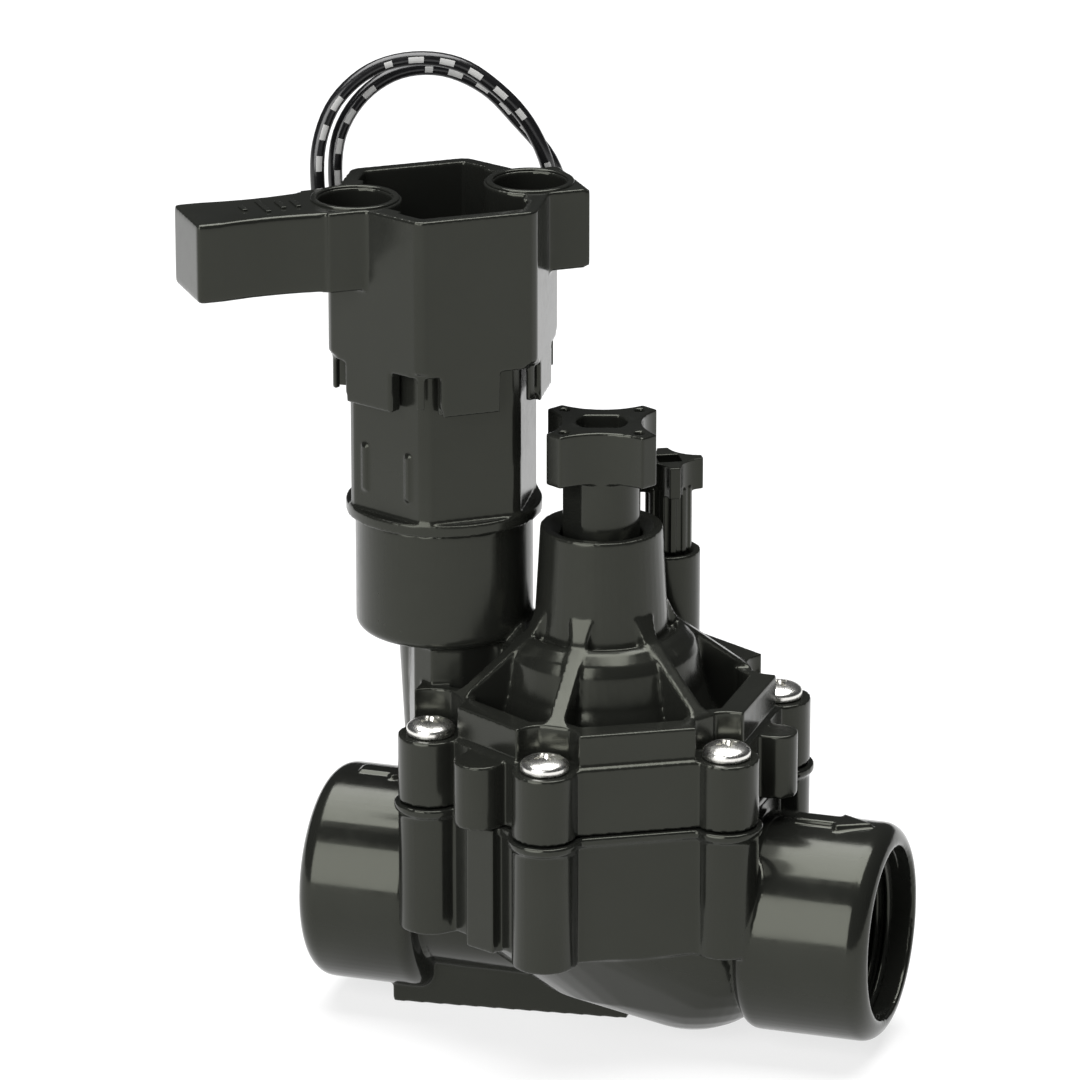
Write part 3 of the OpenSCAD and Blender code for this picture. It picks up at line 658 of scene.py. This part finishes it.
def pan_head_screw():
    """A screw about the Z axis, with its head's seat at z 0."""
    head_r, rim_z, crown = 4.72, 1.15, 1.85
    dome = [(head_r * math.cos(t), rim_z + crown * math.sin(t)) for t in map(math.radians, range(6, 90, 7))]
    shank = [(0, -33), (1.2, -33), (2.3, -31), (2.3, -0.02)]
    rim = [(4.4, 0.0), (4.7, 0.28), (head_r, rim_z)]
    return turned(shank + rim + dome + [(0, rim_z + crown)], sides=72)


def cross_recess():
    """The cutter for a cross recess: four tapered wings round a pointed core."""
    top, bottom = 3.4, 0.9
    wing = ([(0, -0.5, top), (2.6, -0.5, top), (2.6, 0.5, top), (0, 0.5, top),
             (0, -0.34, bottom), (1.0, -0.34, bottom), (1.0, 0.34, bottom), (0, 0.34, bottom)],
            [(0, 1, 2, 3), (7, 6, 5, 4), (0, 4, 5, 1), (1, 5, 6, 2), (2, 6, 7, 3), (3, 7, 4, 0)])
    core = turned([(0, 0.5), (0.5, bottom), (1.35, top), (0, top)], sides=24)
    return [placed(wing, at(turn=a)) for a in (180, 0, 270, 90)] + [core]


def make_screws():
    """The six bonnet screws, each with its recess turned its own way."""
    turns = (12, 48, 75, 20, 33, 64)
    pattern = object_of("screw", mesh_of("screw", [pan_head_screw()]))
    cutter = object_of("screw_cutter", mesh_of("screw_cutter", cross_recess()))
    cut = pattern.modifiers.new("cut", "BOOLEAN")
    cut.operation = "DIFFERENCE"
    cut.solver = "EXACT"
    cut.use_self = True
    cut.object = cutter
    round_edges(pattern, 0.1, segments=2, angle=32)
    settle(pattern)
    bpy.data.objects.remove(cutter)
    bm = bmesh.new()
    for angle, turn in zip(BOLT_ANGLES, turns):
        one = pattern.data.copy()
        place = at_polar(BOLT_R, angle, BOLT_SEAT) @ at(turn=turn)
        one.transform(Matrix.Scale(MM, 4) @ place @ Matrix.Scale(1 / MM, 4))
        bm.from_mesh(one)
    mesh = bpy.data.meshes.new("screws")
    bm.to_mesh(mesh)
    bm.free()
    bpy.data.objects.remove(pattern)
    screws = smooth_shaded(object_of("screws", mesh))
    even_shading(screws)
    settle(screws)
    finished(screws, "valve", STEEL, ["bonnet_screws"])


make_screws()


# ------------------------------------------------------------ flow control

def handle_details():
    """Fills the sides of the round recess, which leaves an oval one."""
    recess_r, recess_depth = 5.3, 4.2
    arc = [(recess_r * math.cos(t), recess_r * math.sin(t)) for t in map(math.radians, range(46, 135, 8))]
    side = prism(arc, HANDLE_TOP - recess_depth, HANDLE_TOP)
    return [placed(side, at(turn=HANDLE_TURN + half_turn)) for half_turn in (180, 0)]


moulding("flow_knob", "flow_handle", "flow_control", BLACK, grain=0.24, rounds=16, keep=0.35,
         add=handle_details())
moulding("bleed_knob", "bleed_screw", "bleed", BLACK_SATIN, grain=0.17, rounds=6, keep=0.3)


# ---------------------------------------------------------------- solenoid

moulding("solenoid_case", "solenoid_housing", "solenoid", BLACK_SATIN, grain=0.36, rounds=3, keep=0.25)

ON_SLEEVE = at(SOLENOID[0], SOLENOID[1], 0, SLEEVE_TURN)


def sleeve_marks():
    """Low rims round the two pockets and plain position bars on the lever."""
    pocket_x = 17.9
    rim = [(7.35, -0.4), (7.35, 0.25), (7.6, 0.45), (8.4, 0.45), (8.65, 0.25), (8.65, -0.4)]
    shapes = [placed(turned(rim, closed=True), ON_SLEEVE @ Matrix.Translation((x, 0, SLEEVE_TOP)))
              for x in (-pocket_x, pocket_x)]
    # each bar's place along the lever, and its length across it
    bars = [(-30.0, 5.0), (-33.0, 5.0), (-36.5, 8.0), (-40.5, 3.2)]
    half_bar, proud = 0.5, 0.4
    for x, length in bars:
        bar = block(x - half_bar, x + half_bar, -length / 2, length / 2,
                    SLEEVE_TOP - proud, SLEEVE_TOP + proud)
        shapes.append(placed(bar, ON_SLEEVE))
    hard_piece("sleeve_marks", shapes, "solenoid", BLACK, edge=0.15)


sleeve_marks()


def on_lever(place):
    """True on the lever's arm and on the far block's end."""
    lever_low, block_end, arm_start = 150, 26, -27
    x, y, z = ON_SLEEVE.inverted() @ place
    return z > lever_low and (x > block_end or x < arm_start)


moulding("sleeve", "lever_sleeve", "solenoid", BLACK, grain=0.34, rounds=8, keep=0.3, softer=on_lever)


# --------------------------------------------------- diaphragm and springs

def make_diaphragm():
    """The rubber disc with its rolled wall and clamped bead; the real one bends as its middle lifts, but this
    mesh does not bend.
    """
    low = [(2.25, 43.5), (15.5, 43.5), (17.5, 43.7), (19.0, 44.2), (21.0, 45.7), (23.5, 47.9), (25.8, 49.8)]
    bead = [(29.9, 49.8), (30.0, 48.55), (31.4, 48.55), (31.45, 51.15)]
    high = [(25.4, 51.15), (23.2, 49.3), (20.8, 47.3), (18.4, 45.5), (16.5, 45.1), (15.2, 45.0), (2.25, 45.0)]
    disc = turned(low + bead + high, sides=96, closed=True)
    hard_piece("diaphragm_rubber", [disc], "valve", FINISH["rubber_black"], ["diaphragm"],
               edge=0.15, bend=("diaphragm_assembly", 45.2, 48.5))


make_diaphragm()


def spring(name, node, body, mover, radius, wire, z0, z1, turns, centre=(0.0, 0.0)):
    """A compression spring of wire with the radius wire; mover is not used.

    At each end a part of a turn is closed: it rises by only closed_rise.
    """
    closed, per_turn = 0.75, 28
    closed_rise = wire * 2 * 0.9
    whole = turns + 2 * closed
    steps = round(whole * per_turn)
    points = []
    for i in range(steps + 1):
        t = whole * i / steps
        open_part = min(max(t - closed, 0) / turns, 1)
        first = closed_rise * min(t, closed) / closed
        last = closed_rise * max(t - closed - turns, 0) / closed
        z = z0 + first + last + (z1 - z0 - 2 * closed_rise) * open_part
        a = 2 * math.pi * t
        points.append((centre[0] + radius * math.cos(a), centre[1] + radius * math.sin(a), z))
    hard_piece(name, [swept(points, wire)], body, STEEL, [node], bend=(mover, z0, z1))


spring("diaphragm_spring", "main_spring", "valve", "diaphragm_assembly",
       radius=9.2, wire=0.7, z0=47.9, z1=69.1, turns=4)
spring("core_spring", "plunger_spring", "solenoid", "plunger",
       radius=2.3, wire=0.3, z0=110.6, z1=124.3, turns=6, centre=SOLENOID)


# ------------------------------------------------ finishes on the CAD nodes

for row in frame["record"]["subparts"]:
    node = frame["nodes"][row["node"]]
    node.data.materials.clear()
    node.data.materials.append(FINISH[row["material_slot"]])


# --------------------------------------------- floor and lights, in metres

def pale_floor():
    """A plain floor just under the valve, bright enough to fade into the background."""
    reach = 6.0
    corners = [(-reach, -reach, 0), (reach, -reach, 0), (reach, reach, 0), (-reach, reach, 0)]
    mesh = bpy.data.meshes.new("floor")
    mesh.from_pydata(corners, [], [(0, 1, 2, 3)])
    floor = object_of("floor", mesh)
    floor.location.z = -0.0002
    material, tree, shader = tree_of("floor")
    shader.inputs["Base Color"].default_value = (0.26, 0.26, 0.26, 1)
    shader.inputs["Roughness"].default_value = 0.9
    shader.inputs["Specular IOR Level"].default_value = 0.0
    shader.inputs["Emission Color"].default_value = (1.0, 1.0, 1.0, 1)
    shader.inputs["Emission Strength"].default_value = 0.74
    mesh.materials.append(material)


def softbox(name, centre, size, target, watts):
    data = bpy.data.lights.new(name, "AREA")
    data.shape = "RECTANGLE"
    data.size, data.size_y = size
    data.energy = watts
    light = bpy.data.objects.new(name, data)
    light.location = centre
    light.rotation_mode = "QUATERNION"
    light.rotation_quaternion = (Vector(centre) - Vector(target)).to_track_quat("Z", "Y")
    light.visible_camera = False
    scene.collection.objects.link(light)


def studio():
    """A dim room that the camera sees as white, with a large box above and a smaller one in front."""
    room = (0.035, 0.036, 0.038, 1)
    backdrop = (0.95, 0.95, 0.95, 1)
    world = bpy.data.worlds.new("studio")
    scene.world = world
    world.use_nodes = True
    tree = world.node_tree
    tree.nodes.clear()
    seen = put(tree, "ShaderNodeLightPath").outputs["Is Camera Ray"]
    back = put(tree, "ShaderNodeBackground", {"Color": blended(tree, seen, room, backdrop), "Strength": 1.0})
    out = put(tree, "ShaderNodeOutputWorld")
    tree.links.new(back.outputs[0], out.inputs["Surface"])
    softbox("top_box", centre=(-0.1, 0.17, 1.6), size=(1.7, 1.44), target=(-0.1, 0.17, 0), watts=60)
    softbox("front_box", centre=(-0.45, -1.5, 0.7), size=(1.3, 1.3), target=(-0.1, 0, 0.05), watts=30)
    scene.view_settings.view_transform = "Standard"
    scene.view_settings.look = "None"


pale_floor()
studio()
